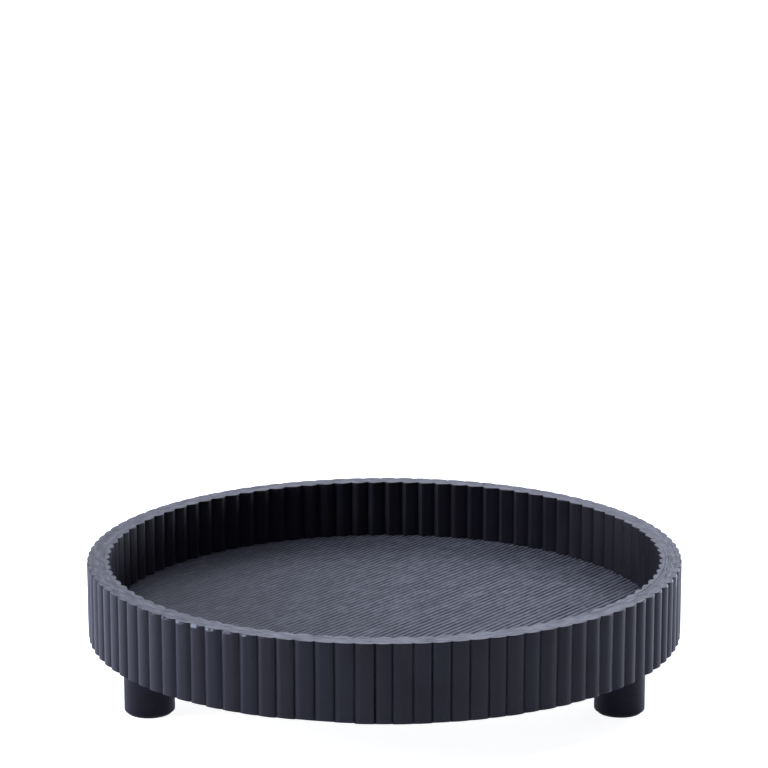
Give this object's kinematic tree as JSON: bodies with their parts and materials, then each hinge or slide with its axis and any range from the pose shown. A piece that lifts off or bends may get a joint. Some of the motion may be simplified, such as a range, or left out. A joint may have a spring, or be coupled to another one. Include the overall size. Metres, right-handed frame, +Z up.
{
  "type": "round footed tray",
  "caption": "Round wooden tray with a low reeded wall of upright arched slats inside and out, a flat lined floor and short round feet, painted black.",
  "frame": {"origin": "on the ground under the centre of the tray", "axes": "+Z up, the pictured front faces -Y, +X to the right of the front"},
  "size_m": [0.35, 0.35, 0.0715],
  "materials": {
    "slat_wood": "satin black paint, brushed over wooden slats with arched faces",
    "hoop_ply": "satin black paint on bent plywood, edge lines showing",
    "floor_wood": "satin black paint over fine saw lines",
    "foot_wood": "satin black paint on turned wood",
    "pad_felt": "black felt",
    "screw_steel": "zinc plated"
  },
  "bodies": {
    "root": {"floor_panel": "floor_wood", "outer_hoop": "hoop_ply", "inner_hoop": "hoop_ply", "outer_slats_01": "slat_wood", "outer_slats_02": "slat_wood", "outer_slats_03": "slat_wood", "outer_slats_04": "slat_wood", "outer_slats_05": "slat_wood", "outer_slats_06": "slat_wood", "outer_slats_07": "slat_wood", "outer_slats_08": "slat_wood", "outer_slats_09": "slat_wood", "outer_slats_10": "slat_wood", "outer_slats_11": "slat_wood", "outer_slats_12": "slat_wood", "outer_slats_13": "slat_wood", "outer_slats_14": "slat_wood", "outer_slats_15": "slat_wood", "outer_slats_16": "slat_wood", "outer_slats_17": "slat_wood", "outer_slats_18": "slat_wood", "outer_slats_19": "slat_wood", "outer_slats_20": "slat_wood", "inner_slats_01": "slat_wood", "inner_slats_02": "slat_wood", "inner_slats_03": "slat_wood", "inner_slats_04": "slat_wood", "inner_slats_05": "slat_wood", "inner_slats_06": "slat_wood", "inner_slats_07": "slat_wood", "inner_slats_08": "slat_wood", "inner_slats_09": "slat_wood", "inner_slats_10": "slat_wood", "inner_slats_11": "slat_wood", "inner_slats_12": "slat_wood", "inner_slats_13": "slat_wood", "inner_slats_14": "slat_wood", "inner_slats_15": "slat_wood", "inner_slats_16": "slat_wood", "inner_slats_17": "slat_wood", "inner_slats_18": "slat_wood", "inner_slats_19": "slat_wood", "foot_1": "foot_wood", "foot_screw_1": "screw_steel", "foot_pad_1": "pad_felt", "foot_2": "foot_wood", "foot_screw_2": "screw_steel", "foot_pad_2": "pad_felt", "foot_3": "foot_wood", "foot_screw_3": "screw_steel", "foot_pad_3": "pad_felt"}
  },
  "joints": []
}
